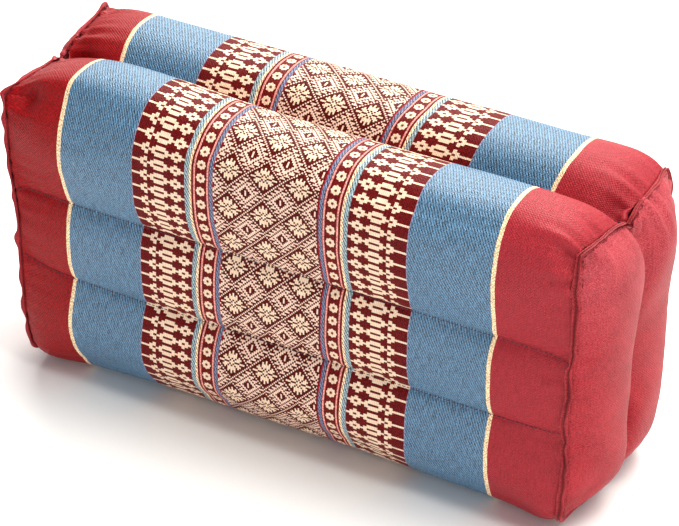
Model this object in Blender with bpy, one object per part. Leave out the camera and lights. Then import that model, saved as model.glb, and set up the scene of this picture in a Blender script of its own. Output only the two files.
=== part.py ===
# Block meditation cushion standing on its long narrow side.
# +X runs along the length, +Y from the front face to the back face, +Z up, and the
# origin is on the resting surface below the middle of the cushion.

import bpy
import bmesh
from math import atan2, cos, exp, pi, sin

# Driving dimensions in metres; the channels are two deep and three high
SEAM_HEIGHT = 0.164          # end panel, lower seam to upper seam
SEAM_DEPTH = 0.103           # end panel, front seam to back seam
FULL_HEIGHT = 0.1795         # resting surface to the crown of the upper channels
FULL_DEPTH = 0.1185          # front to back over the filled channels
SEAM_CENTRE_Z = 0.0885       # middle of the end panels above the resting surface
LEFT_CORNER_PULL = 0.0085    # how far the lower front corner of each end is drawn in
RIGHT_CORNER_PULL = 0.0055
CORNER_PULL_START = 0.35     # share of the way down from mid height where that begins
SEAM_BOW = 0.004             # how far the upright seams bow outward at mid height
SHOULDER = 0.0095            # length over which the filling swells out from an end seam
SEWING_GAP = 0.0004          # clearance between neighbouring pieces

# Sewn lines across the front and back faces, above the resting surface
UPPER_CREASE_Z = 0.1105
LOWER_CREASE_Z = 0.0635
FACE_CREASE_DEPTH = 0.0062
FACE_CREASE_WIDTH = 0.0085
TOP_VALLEY_DEPTH = 0.021
TOP_VALLEY_AT_SEAM = 0.008
BOTTOM_VALLEY_DEPTH = 0.013
VALLEY_WIDTH = 0.0085
BOTTOM_SQUASH = 0.0038       # how much of the lower crowns the resting surface presses flat

# Corner fullness: exponent of the rounded outline, higher is squarer
SEAM_SQUARENESS = 11.0
UPPER_SQUARENESS = 7.0
LOWER_SQUARENESS = 4.0

# End panels and their seams
PANEL_EDGE = 0.0010
END_RECESS = 0.0015          # filling set back behind an end panel, away from its seam
PANEL_BULGE = 0.0130
PANEL_CREASE_DEPTH = 0.0110
PANEL_CREASE_WIDTH = 0.0080
PANEL_CREASE_FADE = 0.55     # share of the crease that is lost at the upper and lower seams
RIDGE_HEIGHT = 0.0042
RIDGE_THICKNESS = 0.0030
RIDGE_START = 0.0006
RIDGE_NECK = 0.24            # thickness where it is sewn, as a share of the whole

# Cells of each mesh along X, across Y and in each of the three rows up Z; a crowding above 1
# draws the cells across Y toward the valleys in the middle
LENGTH_CELLS = 28
DEPTH_CELLS = 14
ROW_CELLS = (7, 6, 8)
DEPTH_CROWDING = 1.35
RIDGE_CELLS_ALONG = 96
RIDGE_CELLS_ROUND = 8

# Distance from the middle to each end seam, at five heights from the lower to the upper seam
SEAM_X = (
    # height share, left end, right end
    (-1.0, 0.1627, 0.1643),
    (-0.5, 0.1627, 0.1645),
    (0.0, 0.1627, 0.1648),
    (0.5, 0.1659, 0.1663),
    (1.0, 0.1682, 0.1668),
)

SHARP_ANGLE = 0.9            # radians, for the shading of edges
COLLECTION_NAME = "meditation cushion"


def clear_scene():
    for thing in list(bpy.data.objects):
        bpy.data.objects.remove(thing)


def make_material(name, colour, roughness):
    material = bpy.data.materials.new(name)
    material.use_nodes = True
    shader = material.node_tree.nodes["Principled BSDF"]
    shader.inputs["Base Color"].default_value = (*colour, 1.0)
    shader.inputs["Roughness"].default_value = roughness
    shader.inputs["Metallic"].default_value = 0.0
    return material


def make_block(cells):
    """Box from -1 to 1 on each axis, cut into the given number of cells along it."""
    mesh = bmesh.new()
    bmesh.ops.create_cube(mesh, size=2.0)
    for axis, count in enumerate(cells):
        along = [e for e in mesh.edges if abs(e.verts[0].co[axis] - e.verts[1].co[axis]) > 0.1]
        bmesh.ops.subdivide_edges(mesh, edges=along, cuts=count - 1, use_grid_fill=True)
    return mesh


def add_object(name, mesh, material, collection):
    data = bpy.data.meshes.new(name)
    mesh.to_mesh(data)
    mesh.free()
    data.materials.append(material)
    data.shade_smooth()
    data.set_sharp_from_angle(angle=SHARP_ANGLE)
    thing = bpy.data.objects.new(name, data)
    collection.objects.link(thing)
    return thing


def smooth_between(low, high, share):
    """Value from low to high with a level start and end."""
    share = min(max(share, 0.0), 1.0)
    return low + (high - low) * share * share * (3.0 - 2.0 * share)


def seam_x(side, y, z):
    """X of an end seam at y and z from its middle; side is -1 for the left end, 1 for the right."""
    column = 1 if side < 0 else 2
    height_share = z / (SEAM_HEIGHT / 2)
    for lower, upper in zip(SEAM_X, SEAM_X[1:]):
        if height_share <= upper[0]:
            break
    share = (height_share - lower[0]) / (upper[0] - lower[0])
    pull = LEFT_CORNER_PULL if side < 0 else RIGHT_CORNER_PULL
    frontness = min(max(0.5 - y / SEAM_DEPTH, 0.0), 1.0)
    lowness = max(-height_share - CORNER_PULL_START, 0.0) / (1.0 - CORNER_PULL_START)
    straight = smooth_between(lower[column], upper[column], share)
    return side * (straight - pull * (frontness * lowness) ** 2)


def row_share(share):
    """Move evenly spaced rows of cells so that the two sewn lines fall on a row."""
    total = sum(ROW_CELLS)
    step = (share + 1.0) / 2.0 * total
    lower = (LOWER_CREASE_Z - SEAM_CENTRE_Z) / (FULL_HEIGHT / 2)
    upper = (UPPER_CREASE_Z - SEAM_CENTRE_Z) / (FULL_HEIGHT / 2)
    marks = (-1.0, lower, upper, 1.0)
    first = 0
    for count, low, high in zip(ROW_CELLS, marks, marks[1:]):
        if step <= first + count + 1e-6:
            break
        first += count
    return low + (high - low) * (step - first) / count


def depth_share(share):
    """Crowd the cells toward the middle, where the valleys are."""
    return (1.0 if share > 0 else -1.0) * abs(share) ** DEPTH_CROWDING


def outline(b, c, half_depth, half_height, squareness, valley_top, valley_bottom):
    """Point of the cross-section ring; b and c are its place on a square from -1 to 1."""
    lesser = min(abs(b), abs(c))
    corner = (1.0 + lesser ** squareness) ** (-1.0 / squareness)
    y = half_depth * b * corner
    z = half_height * c * corner
    valley = valley_top if c > 0 else valley_bottom
    z -= (1.0 if c > 0 else -1.0) * valley * exp(-abs(y) / VALLEY_WIDTH) * abs(c) ** 6
    return y, z


def seam_outline(b, c):
    """Ring of an end seam round the middle of the end panel."""
    half_depth = SEAM_DEPTH / 2 + SEAM_BOW * (1.0 - c * c)
    return outline(b, c, half_depth, SEAM_HEIGHT / 2, SEAM_SQUARENESS, TOP_VALLEY_AT_SEAM, 0.0)


def body_ring(b, c, swell):
    """Ring of the filled body; swell is 0 at an end seam and 1 where it is full."""
    half_depth = SEAM_DEPTH / 2 + SEAM_BOW * (1.0 - c * c)
    half_depth += (FULL_DEPTH / 2 - half_depth) * swell
    crown = FULL_HEIGHT - SEAM_CENTRE_Z if c > 0 else SEAM_CENTRE_Z + BOTTOM_SQUASH
    half_height = SEAM_HEIGHT / 2 + (crown - SEAM_HEIGHT / 2) * swell
    fullest = UPPER_SQUARENESS if c > 0 else LOWER_SQUARENESS
    squareness = SEAM_SQUARENESS + (fullest - SEAM_SQUARENESS) * swell
    top_valley = TOP_VALLEY_AT_SEAM + (TOP_VALLEY_DEPTH - TOP_VALLEY_AT_SEAM) * swell ** 2
    y, z = outline(b, c, half_depth, half_height, squareness, top_valley, BOTTOM_VALLEY_DEPTH * swell)
    for crease in (UPPER_CREASE_Z, LOWER_CREASE_Z):
        away = abs(z + SEAM_CENTRE_Z - crease)
        y -= (1.0 if b > 0 else -1.0) * FACE_CREASE_DEPTH * swell * exp(-away / FACE_CREASE_WIDTH)
    return y, z


def ring_place(b, c):
    """Place of a block's point: its ring on the outer square, and its share of the way out."""
    inset = max(abs(b), abs(c))
    if inset == 0.0:
        return 0.0, 1.0, 0.0
    return b / inset, c / inset, inset


def make_body(material, collection):
    mesh = make_block((LENGTH_CELLS, DEPTH_CELLS, sum(ROW_CELLS)))
    for vertex in mesh.verts:
        along = sin(vertex.co.x * pi / 2)
        ring_b, ring_c, inset = ring_place(depth_share(vertex.co.y), row_share(vertex.co.z))
        seam_y, seam_z = seam_outline(ring_b, ring_c)
        recess = SEWING_GAP / 2 + END_RECESS * (1.0 - inset ** 4)
        left = seam_x(-1, seam_y * inset, seam_z * inset) + recess
        right = seam_x(1, seam_y * inset, seam_z * inset) - recess
        x = left + (right - left) * (along + 1.0) / 2.0
        from_seam = min(x - left, right - x)
        y, z = body_ring(ring_b, ring_c, 1.0 - exp(-from_seam / SHOULDER))
        vertex.co = (x, y * inset, max(z * inset + SEAM_CENTRE_Z, 0.0))
    return add_object("cushion_body", mesh, material, collection)


def panel_bulge(b, c):
    """How far an end panel stands out from its seam: two upright lobes and a crease."""
    across = 1.0 - abs(b) ** 4
    up = 1.0 - abs(c) ** 9
    crease = exp(-abs(b) * SEAM_DEPTH / 2 / PANEL_CREASE_WIDTH) * (1.0 - PANEL_CREASE_FADE * c * c)
    return across * up * (PANEL_BULGE - PANEL_CREASE_DEPTH * crease)


def make_end_panel(name, side, material, collection):
    mesh = make_block((1, DEPTH_CELLS, sum(ROW_CELLS)))
    for vertex in mesh.verts:
        b = depth_share(vertex.co.y)
        c = row_share(vertex.co.z)
        ring_b, ring_c, inset = ring_place(b, c)
        y, z = seam_outline(ring_b, ring_c)
        out = SEWING_GAP / 2
        if vertex.co.x * side > 0:
            out += PANEL_EDGE + panel_bulge(b, c)
        x = seam_x(side, y * inset, z * inset) + side * out
        vertex.co = (x, y * inset, z * inset + SEAM_CENTRE_Z)
    return add_object(name, mesh, material, collection)


def make_end_seam(name, side, material, collection):
    ring_radius = 1.0
    tube_radius = 0.25
    bpy.ops.mesh.primitive_torus_add(major_segments=RIDGE_CELLS_ALONG, minor_segments=RIDGE_CELLS_ROUND,
                                     major_radius=ring_radius, minor_radius=tube_radius)
    torus = bpy.context.active_object
    mesh = bmesh.new()
    mesh.from_mesh(torus.data)
    bpy.data.objects.remove(torus)
    for vertex in mesh.verts:
        turn = atan2(vertex.co.y, vertex.co.x)
        outward = (vertex.co.xy.length - ring_radius) / tube_radius
        sideways = vertex.co.z / tube_radius
        reach = max(abs(cos(turn)), abs(sin(turn)))
        b = cos(turn) / reach
        c = sin(turn) / reach
        seam_y, seam_z = seam_outline(b, c)
        height = RIDGE_START + RIDGE_HEIGHT * (outward + 1.0) / 2
        y = seam_y + b * abs(b) ** 5 * height
        z = seam_z + c * abs(c) ** 5 * height
        taper = RIDGE_NECK + (1.0 - RIDGE_NECK) * (outward + 1.0) / 2
        x = seam_x(side, seam_y, seam_z) + side * PANEL_EDGE / 2 + sideways * taper * RIDGE_THICKNESS / 2
        vertex.co = (x, y, z + SEAM_CENTRE_Z)
    return add_object(name, mesh, material, collection)


clear_scene()
cushion = bpy.data.collections.new(COLLECTION_NAME)
bpy.context.scene.collection.children.link(cushion)
woven = make_material("woven cotton", (0.33, 0.07, 0.08), 0.85)
plain = make_material("plain red cotton", (0.46, 0.035, 0.05), 0.8)
folded = make_material("folded seam cotton", (0.33, 0.022, 0.035), 0.85)
make_body(woven, cushion)
make_end_panel("end_panel_left", -1, plain, cushion)
make_end_panel("end_panel_right", 1, plain, cushion)
make_end_seam("end_seam_left", -1, folded, cushion)
make_end_seam("end_seam_right", 1, folded, cushion)
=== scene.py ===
from math import cos, pi, radians, sin

import bpy
import numpy as np
from mathutils import Matrix, Vector


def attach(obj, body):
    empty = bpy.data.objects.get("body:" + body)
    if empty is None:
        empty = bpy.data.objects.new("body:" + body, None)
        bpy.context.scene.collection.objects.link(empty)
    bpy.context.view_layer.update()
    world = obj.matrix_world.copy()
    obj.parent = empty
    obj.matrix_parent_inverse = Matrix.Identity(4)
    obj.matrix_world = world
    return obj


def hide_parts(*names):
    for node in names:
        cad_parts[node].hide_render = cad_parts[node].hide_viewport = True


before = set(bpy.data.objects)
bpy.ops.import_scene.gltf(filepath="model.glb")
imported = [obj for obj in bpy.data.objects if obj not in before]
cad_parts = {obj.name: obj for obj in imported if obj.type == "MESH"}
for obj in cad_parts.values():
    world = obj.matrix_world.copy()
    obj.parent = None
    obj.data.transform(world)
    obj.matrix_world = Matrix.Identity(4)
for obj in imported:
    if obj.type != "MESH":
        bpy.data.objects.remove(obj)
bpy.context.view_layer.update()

# Block meditation cushion of kapok in hand-woven cotton. The shape repeats the CAD solids' rule
# on a finer grid, is filled by a cloth simulation, and then gets its puckers, seams and stitches.

# Sizes, in metres

SEAM_HEIGHT = 0.164          # end panel, lower seam to upper seam
SEAM_DEPTH = 0.103           # end panel, front seam to back seam
FULL_HEIGHT = 0.1795         # resting surface to the crown of the upper channels
FULL_DEPTH = 0.1185          # front to back over the filled channels
SEAM_CENTRE_Z = 0.0885       # middle of the end panels above the resting surface
HALF_LENGTH = 0.164          # middle of the cushion to an end seam, about
LEFT_CORNER_PULL = 0.0030    # how far the lower front corner of each end is drawn in
RIGHT_CORNER_PULL = 0.0040
CORNER_PULL_START = 0.60     # share of the way down from mid height where that starts
SEAM_BOW = 0.004             # the upright edges of the end panels bow out by this much
SHOULDER = 0.0095            # length over which the filling swells out from an end seam
LEFT_TOP_SHOULDER = (0.0165, 0.0130)    # the same along the top of the front and back channels
RIGHT_TOP_SHOULDER = (0.0090, 0.0130)
FRONT_CROWN_RISE = 0.0037    # the filling pushes the crowns up past the rule's own height
BACK_CROWN_RISE = 0.0040
UPPER_CREASE_Z = 0.1105      # the two sewn lines across the front and the back
LOWER_CREASE_Z = 0.0635
FACE_CREASE_DEPTH = 0.0062
FACE_CREASE_WIDTH = 0.0085
TOP_VALLEY_DEPTH = 0.021
TOP_VALLEY_AT_SEAM = 0.008
BOTTOM_VALLEY_DEPTH = 0.013
VALLEY_WIDTH = 0.0085
BOTTOM_SQUASH = 0.0038       # the floor presses the lower channels flat by this much
SEAM_SQUARENESS = 17.0       # how square the section is at the seams, and where it is full
UPPER_SQUARENESS = 7.0
LOWER_SQUARENESS = 4.0
PANEL_EDGE = 0.0010
PANEL_CLEARANCE = 0.0002     # an end panel stays this far off the cover's own end
PANEL_BULGE = 0.0132
PANEL_CREASE_DEPTH = 0.0125
PANEL_CREASE_FADE = 0.40
FRONT_SLOPE = 0.0040         # width of the front lobe's fall into the panel's crease
BACK_SLOPE = 0.0050          # the same on the back lobe, where it is steepest
SEAM_X = np.array((
    # height share, left end, right end
    (-1.0, 0.1627, 0.1643),
    (-0.5, 0.1629, 0.1645),
    (0.0, 0.1633, 0.1648),
    (0.5, 0.1652, 0.1663),
    (1.0, 0.1664, 0.1668),
))

# The tied corners pull the top of each end seam out of its straight line
SEAM_TOP = {
    # side: (level of the edge, rise of its corner, flare of its corner) at the front, and at the back
    -1: ((-0.0040, 0.0000, 0.0035), (0.0000, 0.0040, 0.0035)),
    1: ((0.0000, 0.0020, -0.0030), (-0.0008, 0.0015, -0.0035)),
}
TIED_REACH = 0.015           # that pull dies out over this much of the long sides

LEFT_STAND = 0.0038          # the upper half of the left end stands out by this much
RIGHT_BOTTOM_RISE = 0.0030   # the lower edge of the right end is drawn up by this much

# The front crown is fuller near the left end: by how much, and the x of its middle and its reach
LEFT_FULLNESS = (0.0043, -0.118, 0.052)

# The sewn lines curve up where they meet the left end
LEFT_LINE_LIFT = (
    # level of the line, rise at the end
    (UPPER_CREASE_Z, 0.0030),
    (LOWER_CREASE_Z, 0.0055),
)
LINE_LIFT_REACH = 0.016
TIED_AT_ENDS = 0.45          # share of its depth that a sewn line keeps where the filling ends
TIED_START = 0.002           # and it reaches that share this far from the end seam

LENGTH_CELLS = 100
DEPTH_CELLS = 28
ROW_CELLS = (16, 12, 18)     # below, between and above the two sewn lines
FILL_FRAMES = 20             # length of the simulation
START_INSET = 0.0022         # the filling starts this much slacker than it ends
SLACK_REACH = 0.006          # and reaches that this far from a stitched point
MOVE_CAP = 0.0050            # furthest that the simulation may move a point
KEPT_ON_CROWNS = 0.30        # shares of the simulation's swelling that are kept
KEPT_ON_FACES = 0.60         # on top of the last, on the front and the back
KEPT_ON_PANELS = 0.45
SWELLING_FADE = 0.008        # the swelling dies out over this much toward an end seam
SIDE_BLUR = 4                # cells over which it is smoothed, and the same on the end panels
PANEL_BLUR = 2
LOBE_CLEARANCE = 0.0002      # the lobes stay this far from the middle of the valleys
CAP_RECESS = 0.0015          # the cover's own ends lie this far inside its end seams
CAP_RINGS = (0.97, 0.55)     # shares of the way from their middle to the seam
CAP_U = 0.16                 # and they take the colour of this place on the cloth
CLOTH_LEFT = 0.1627          # ends of the cover's cloth, from the middle of the cushion
CLOTH_RIGHT = 0.1648
FLOWER_Z = 0.0843            # middle of one row of large flowers above the resting surface


# Small helpers

def linear(hex_colour):
    """Linear colour of an sRGB hex value."""
    parts = [int(hex_colour[k:k + 2], 16) / 255 for k in (1, 3, 5)]
    return tuple(p / 12.92 if p <= 0.04045 else ((p + 0.055) / 1.055) ** 2.4 for p in parts) + (1.0,)


def add(tree, kind, links=None, **settings):
    """Adds a node, sets its properties, and fills or links the named or numbered inputs."""
    node = tree.nodes.new(kind)
    for name, value in settings.items():
        setattr(node, name, value)
    for socket, value in (links or {}).items():
        if isinstance(value, bpy.types.Node):
            value = value.outputs[0]
        if isinstance(value, bpy.types.NodeSocket):
            tree.links.new(value, node.inputs[socket])
        else:
            node.inputs[socket].default_value = value
    return node


def smooth_share(share):
    """0 to 1 with a soft start and a soft end."""
    share = np.clip(share, 0.0, 1.0)
    return share * share * (3.0 - 2.0 * share)


def hump(value, middle, reach, power=2):
    """1 at the middle, falling smoothly to nothing past its reach on both sides."""
    return np.exp(-((value - middle) / reach) ** power)


def wave_noise(seed, *coordinates):
    """Smooth noise, mostly from -1 to 1, made of six slanting waves; a seed always gives the same."""
    rng = np.random.default_rng(seed)
    total = 0.0
    for turn in range(6):
        phase = rng.uniform(0, 2 * pi)
        for coordinate in coordinates:
            phase = phase + coordinate * rng.uniform(0.5, 1.4) * rng.choice((-1.0, 1.0))
        total = total + np.sin(phase)
    return total / 3.4


# The shape's rule

def seam_x(side, y, z):
    """X of an end seam at y and z from its middle; side is -1 for the left end, 1 for the right."""
    column = SEAM_X[:, 1 if side < 0 else 2]
    share = np.clip(z / (SEAM_HEIGHT / 2), -1.0, 1.0)
    step = np.clip(np.searchsorted(SEAM_X[:, 0], share) - 1, 0, len(SEAM_X) - 2)
    low = SEAM_X[step, 0]
    straight = column[step] + (column[step + 1] - column[step]) * smooth_share(
        (share - low) / (SEAM_X[step + 1, 0] - low))
    pull = LEFT_CORNER_PULL if side < 0 else RIGHT_CORNER_PULL
    frontness = np.clip(0.5 - y / SEAM_DEPTH, 0.0, 1.0)
    lowness = np.maximum(-share - CORNER_PULL_START, 0.0) / (1.0 - CORNER_PULL_START)
    return side * (straight - pull * (frontness * lowness) ** 2)


def outline(b, c, half_depth, half_height, squareness, valley_top, valley_bottom):
    """Rounded section through places b and c on the outer square, with valleys in its middle."""
    lesser = np.minimum(np.abs(b), np.abs(c))
    corner = (1.0 + lesser ** squareness) ** (-1.0 / squareness)
    y = half_depth * b * corner
    z = half_height * c * corner
    valley = np.where(c > 0, valley_top, valley_bottom)
    z = z - np.sign(c) * valley * np.exp(-np.abs(y) / VALLEY_WIDTH) * np.abs(c) ** 6
    return y, z


def seam_outline(b, c):
    """Ring of an end seam round the middle of the end panel."""
    half_depth = SEAM_DEPTH / 2 + SEAM_BOW * (1.0 - c * c)
    return outline(b, c, half_depth, SEAM_HEIGHT / 2, SEAM_SQUARENESS, TOP_VALLEY_AT_SEAM, 0.0)


def seam_point(side, b, c):
    """X, y and z of an end seam on the ring, from the middle of the end panel."""
    y, z = seam_outline(b, c)
    level, rise, flare = [np.where(b < 0, front, back) for front, back in zip(*SEAM_TOP[side])]
    high = np.maximum(c, 0.0) ** 6
    x = seam_x(side, y, z) + side * flare * high * np.abs(b) ** 4
    if side < 0:
        x = x - LEFT_STAND * smooth_share(c * 1.6)
    else:
        z = z + RIGHT_BOTTOM_RISE * np.maximum(-c, 0.0) ** 4
    return x, y, z + high * (level * smooth_share(np.abs(b) * 3.0) + rise * np.abs(b) ** 3)


def body_ring(b, c, swell, tied):
    """Ring of the filled body; swell is 0 at an end seam and 1 where it is full, and tied is the
    same for the sewn lines."""
    half_depth = SEAM_DEPTH / 2 + SEAM_BOW * (1.0 - c * c)
    half_depth = half_depth + (FULL_DEPTH / 2 - half_depth) * swell
    rise = FRONT_CROWN_RISE + (BACK_CROWN_RISE - FRONT_CROWN_RISE) * smooth_share(b * 3.0 + 0.5)
    crown = np.where(c > 0, FULL_HEIGHT + rise - SEAM_CENTRE_Z, SEAM_CENTRE_Z + BOTTOM_SQUASH)
    half_height = SEAM_HEIGHT / 2 + (crown - SEAM_HEIGHT / 2) * swell
    fullest = np.where(c > 0, UPPER_SQUARENESS, LOWER_SQUARENESS)
    squareness = SEAM_SQUARENESS + (fullest - SEAM_SQUARENESS) * swell
    top_valley = TOP_VALLEY_AT_SEAM + (TOP_VALLEY_DEPTH - TOP_VALLEY_AT_SEAM) * swell
    y, z = outline(b, c, half_depth, half_height, squareness, top_valley, BOTTOM_VALLEY_DEPTH * swell)
    for crease in (UPPER_CREASE_Z, LOWER_CREASE_Z):
        away = np.abs(z + SEAM_CENTRE_Z - crease)
        y = y - np.sign(b) * FACE_CREASE_DEPTH * tied * np.exp(-away / FACE_CREASE_WIDTH)
    return y, z


def panel_bulge(b, c):
    """How far an end panel stands out from its seam: two upright lobes and a crease. The front lobe
    falls steeply into the crease, the back one slowly at mid height and near the top."""
    across = 1.0 - np.abs(b) ** 5
    up = 1.0 - np.abs(c) ** 9
    centre = 0.0036 * hump(c, 0.66, 0.24) - 0.0020 * hump(c, -0.42, 0.16)
    away = b * SEAM_DEPTH / 2 - centre
    back_width = BACK_SLOPE + 0.0080 * hump(c, -0.02, 0.42, 4) + 0.0040 * hump(c, 0.86, 0.13)
    width = np.where(away < 0, FRONT_SLOPE, back_width)
    crease = np.exp(-np.abs(away) / width) * (1.0 - PANEL_CREASE_FADE * c * c)
    fuller = 0.0022 * hump(b, -0.35, 0.42)
    fuller = fuller + 0.0046 * np.exp(-((b - 0.50) / 0.40) ** 2 - ((c - 0.72) / 0.30) ** 2)
    fuller = fuller - 0.0012 * np.exp(-((b - 0.50) / 0.40) ** 2 - (c / 0.30) ** 2)
    return across * up * (PANEL_BULGE + fuller - PANEL_CREASE_DEPTH * crease)


# The grid

def crowd(share, amount):
    """Moves evenly spaced shares from 0 to 1 toward both ends."""
    return share - amount * np.sin(2 * pi * share) / (2 * pi)


def grid_shares():
    """Places of the cells on each axis from -1 to 1, with rows on the two sewn lines."""
    along = crowd(np.linspace(0, 1, LENGTH_CELLS + 1), 0.4) * 2 - 1
    across = np.linspace(-1, 1, DEPTH_CELLS + 1)
    across = np.sign(across) * np.abs(across) ** 1.25
    lower = (LOWER_CREASE_Z - SEAM_CENTRE_Z) / (SEAM_CENTRE_Z + BOTTOM_SQUASH)
    upper = (UPPER_CREASE_Z - SEAM_CENTRE_Z) / (FULL_HEIGHT - SEAM_CENTRE_Z)
    marks = (-1.0, lower, upper, 1.0)
    rows = [-1.0]
    for count, low, high in zip(ROW_CELLS, marks, marks[1:]):
        rows += list(low + (high - low) * crowd(np.linspace(0, 1, count + 1)[1:], 0.45))
    return along, across, np.array(rows)


ALONG, ACROSS, ROWS = grid_shares()
HEIGHT_CELLS = sum(ROW_CELLS)
MIDDLE = DEPTH_CELLS // 2
RING = ([(j, 0) for j in range(MIDDLE, 0, -1)] + [(0, k) for k in range(HEIGHT_CELLS)]
        + [(j, HEIGHT_CELLS) for j in range(DEPTH_CELLS)]
        + [(DEPTH_CELLS, k) for k in range(HEIGHT_CELLS, 0, -1)]
        + [(j, 0) for j in range(DEPTH_CELLS, MIDDLE, -1)])
RING_B = np.array([ACROSS[j] for j, k in RING])
RING_C = np.array([ROWS[k] for j, k in RING])
ROUND = len(RING)
LOWER_ROW = ROW_CELLS[0]
UPPER_ROW = ROW_CELLS[0] + ROW_CELLS[1]
TOP_VALLEY = RING.index((MIDDLE, HEIGHT_CELLS))
BOTTOM_VALLEY = RING.index((MIDDLE, 0))
SEWN_LINES = [RING.index((j, k)) for j in (0, DEPTH_CELLS) for k in (LOWER_ROW, UPPER_ROW)]


def ring_place(b, c):
    """Place on the outer square straight out from b and c, and their share of the way to it."""
    inset = np.maximum(np.abs(b), np.abs(c))
    safe = np.where(inset == 0, 1.0, inset)
    return b / safe, np.where(inset == 0, 1.0, c / safe), inset


def side_points(along, b, c):
    """Points of the long sides at shares along the length and places on the ring."""
    tied_left, _, left_z = seam_point(-1, b, c)
    tied_right, _, right_z = seam_point(1, b, c)
    seam_y, seam_z = seam_outline(b, c)
    left = seam_x(-1, seam_y, seam_z)
    right = seam_x(1, seam_y, seam_z)
    x = left + (right - left) * (along + 1.0) / 2.0
    top = smooth_share(c * 1.5 - 0.5)
    back = smooth_share(b * 3.0 + 0.5)
    left_top, right_top = [front_top + (back_top - front_top) * back
                           for front_top, back_top in (LEFT_TOP_SHOULDER, RIGHT_TOP_SHOULDER)]
    left_shoulder = SHOULDER + (left_top - SHOULDER) * top
    right_shoulder = SHOULDER + (right_top - SHOULDER) * top
    swell = 1.0 - np.exp(-np.minimum((x - left) / left_shoulder, (right - x) / right_shoulder))
    inside = 1.0 - np.exp(-np.minimum(x - left, right - x) / TIED_START)
    tied = swell + TIED_AT_ENDS * (1.0 - swell) * inside
    y, z = body_ring(b, c, swell, tied)
    lift = sum(rise * hump(z + SEAM_CENTRE_Z, level, LINE_LIFT_REACH) for level, rise in LEFT_LINE_LIFT)
    z = z + lift * np.exp((left - x) / LINE_LIFT_REACH)
    fuller, middle, reach = LEFT_FULLNESS
    bulge = fuller * hump(x, middle, reach) * (1.0 - back) * np.maximum(c, 0.0) ** 5
    z = z + bulge * swell * (1.0 - 0.45 * b * b)
    z = z + (np.where(along < 0, left_z, right_z) - seam_z) * (1.0 - swell)
    from_left = (tied_left - left) * np.exp((left - x) / TIED_REACH)
    from_right = (tied_right - right) * np.exp((x - right) / TIED_REACH)
    x = x + from_left + from_right
    return np.stack((x, y, np.maximum(z + SEAM_CENTRE_Z, 0.0)), -1)


def panel_points(side, b, c, out):
    """Points of an end panel, from its seam ring inward, that stand out from the seam by out."""
    ring_b, ring_c, inset = ring_place(b, c)
    seam, y, z = seam_point(side, ring_b, ring_c)
    x = seam_x(side, y * inset, z * inset) + (seam - seam_x(side, y, z)) * inset ** 3 + side * out
    return np.stack((x, y * inset, z * inset + SEAM_CENTRE_Z), -1)


def grid_faces(rows, columns, index, closed, flip):
    """Quads between neighbouring rows and columns of an index table."""
    faces = []
    for i in range(rows - 1):
        for r in range(columns if closed else columns - 1):
            s = (r + 1) % columns
            quad = (index[i][r], index[i + 1][r], index[i + 1][s], index[i][s])
            faces.append(quad[::-1] if flip else quad)
    return faces


def make_object(name, points, faces):
    """Smooth-shaded mesh object in the scene."""
    mesh = bpy.data.meshes.new(name)
    mesh.from_pydata([tuple(p) for p in points], [], faces)
    mesh.shade_smooth()
    thing = bpy.data.objects.new(name, mesh)
    bpy.context.scene.collection.objects.link(thing)
    return thing


def positions(mesh):
    """Places of a mesh's points as an array."""
    flat = np.empty(len(mesh.vertices) * 3, np.float32)
    mesh.vertices.foreach_get("co", flat)
    return flat.reshape(-1, 3).astype(float)


def normals(mesh):
    """Outward directions at a mesh's points as an array."""
    flat = np.empty(len(mesh.vertices) * 3, np.float32)
    mesh.vertex_normals.foreach_get("vector", flat)
    return flat.reshape(-1, 3).astype(float)


def as_plain_mesh(thing, name):
    """Plain mesh object with the modifiers of thing applied; thing itself is removed."""
    bpy.context.view_layer.update()
    evaluated = thing.evaluated_get(bpy.context.evaluated_depsgraph_get())
    mesh = bpy.data.meshes.new_from_object(evaluated)
    mesh.name = name
    old_mesh = thing.data
    bpy.data.objects.remove(thing)
    if isinstance(old_mesh, bpy.types.Mesh):
        bpy.data.meshes.remove(old_mesh)
    result = bpy.data.objects.new(name, mesh)
    bpy.context.scene.collection.objects.link(result)
    return result


# The filled shell

def build_shell():
    """Closed skin of the whole cushion: long sides, then the inner points of both end panels."""
    sides = side_points(ALONG[:, None], RING_B[None, :], RING_C[None, :])
    points = [sides.reshape(-1, 3)]
    index = np.arange((LENGTH_CELLS + 1) * ROUND).reshape(LENGTH_CELLS + 1, ROUND)
    faces = grid_faces(LENGTH_CELLS + 1, ROUND, index, True, False)
    tables = {}
    count = index.size
    inner = [(j, k) for j in range(1, DEPTH_CELLS) for k in range(1, HEIGHT_CELLS)]
    b = np.array([ACROSS[j] for j, k in inner])
    c = np.array([ROWS[k] for j, k in inner])
    for side, end in ((-1, 0), (1, LENGTH_CELLS)):
        table = np.zeros((DEPTH_CELLS + 1, HEIGHT_CELLS + 1), int)
        for r, (j, k) in enumerate(RING):
            table[j, k] = index[end, r]
        for n, (j, k) in enumerate(inner):
            table[j, k] = count + n
        points.append(panel_points(side, b, c, PANEL_EDGE + panel_bulge(b, c)))
        count += len(inner)
        faces += grid_faces(DEPTH_CELLS + 1, HEIGHT_CELLS + 1, table, False, side < 0)
        tables[side] = table
    return np.concatenate(points), faces, index, tables


def pinned_points(index, tables):
    """Points that stitches hold: creases, valleys, end seams and the end panels' creases."""
    held = set(index[0]) | set(index[-1])
    for r in SEWN_LINES + [TOP_VALLEY, BOTTOM_VALLEY]:
        held |= set(index[:, r])
    for table in tables.values():
        held |= set(table[MIDDLE, :])
    return sorted(int(n) for n in held)


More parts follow.
